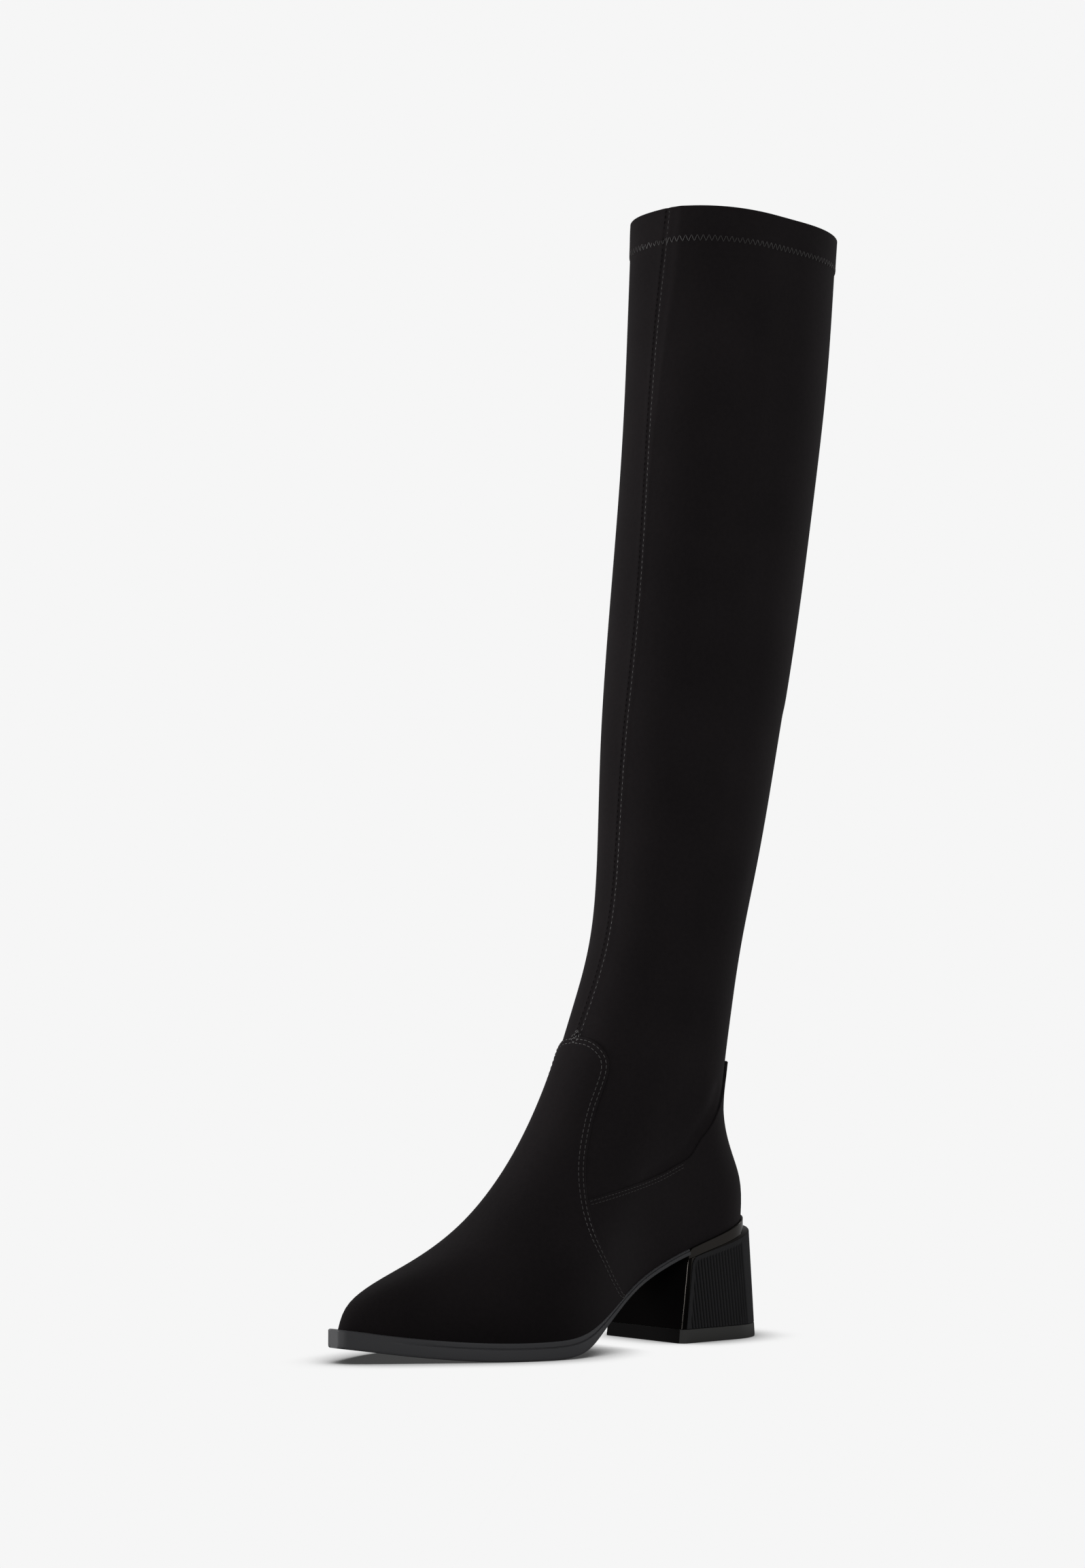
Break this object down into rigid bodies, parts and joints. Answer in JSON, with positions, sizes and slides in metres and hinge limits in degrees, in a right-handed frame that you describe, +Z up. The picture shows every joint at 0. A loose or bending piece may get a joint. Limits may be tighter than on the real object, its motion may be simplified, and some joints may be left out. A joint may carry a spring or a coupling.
{
  "type": "boot",
  "caption": "Tall over-the-knee stretch boot for the left foot, with a pointed square toe, a ribbed block heel and a zip at the inner ankle.",
  "frame": {"origin": "middle of the boot's bounding box in plan, on the plane it stands on", "axes": "+X towards the toe, +Y towards the outer (left) side of the foot, +Z up"},
  "size_m": [0.3064, 0.0976, 0.589],
  "materials": {
    "suede": "matte black stretch microsuede",
    "lining": "black cloth-covered sock",
    "sole_rubber": "satin black moulded rubber",
    "heel_rubber": "semi-matte black, fine upright ribs",
    "plating": "polished black nickel",
    "tape": "woven black zip tape and nylon coil"
  },
  "bodies": {
    "boot": {"upper": "suede", "vamp": "suede", "counter": "suede", "collar_hem": "suede", "insole": "lining", "outsole": "sole_rubber", "heel_core": "plating", "heel_cover": "heel_rubber", "top_lift": "sole_rubber", "zip_tape": "tape", "zip_teeth": "tape", "zip_slider": "plating"},
    "pull": {"zip_pull": "plating"}
  },
  "joints": [
    {"name": "zip_pull_hinge", "type": "hinge", "parent": "boot", "child": "pull", "pos_m": [-0.06209, -0.04691, 0.26125], "axis": [-0.9707, 0.0015, -0.2401], "range_deg": [0, 150]}
  ]
}
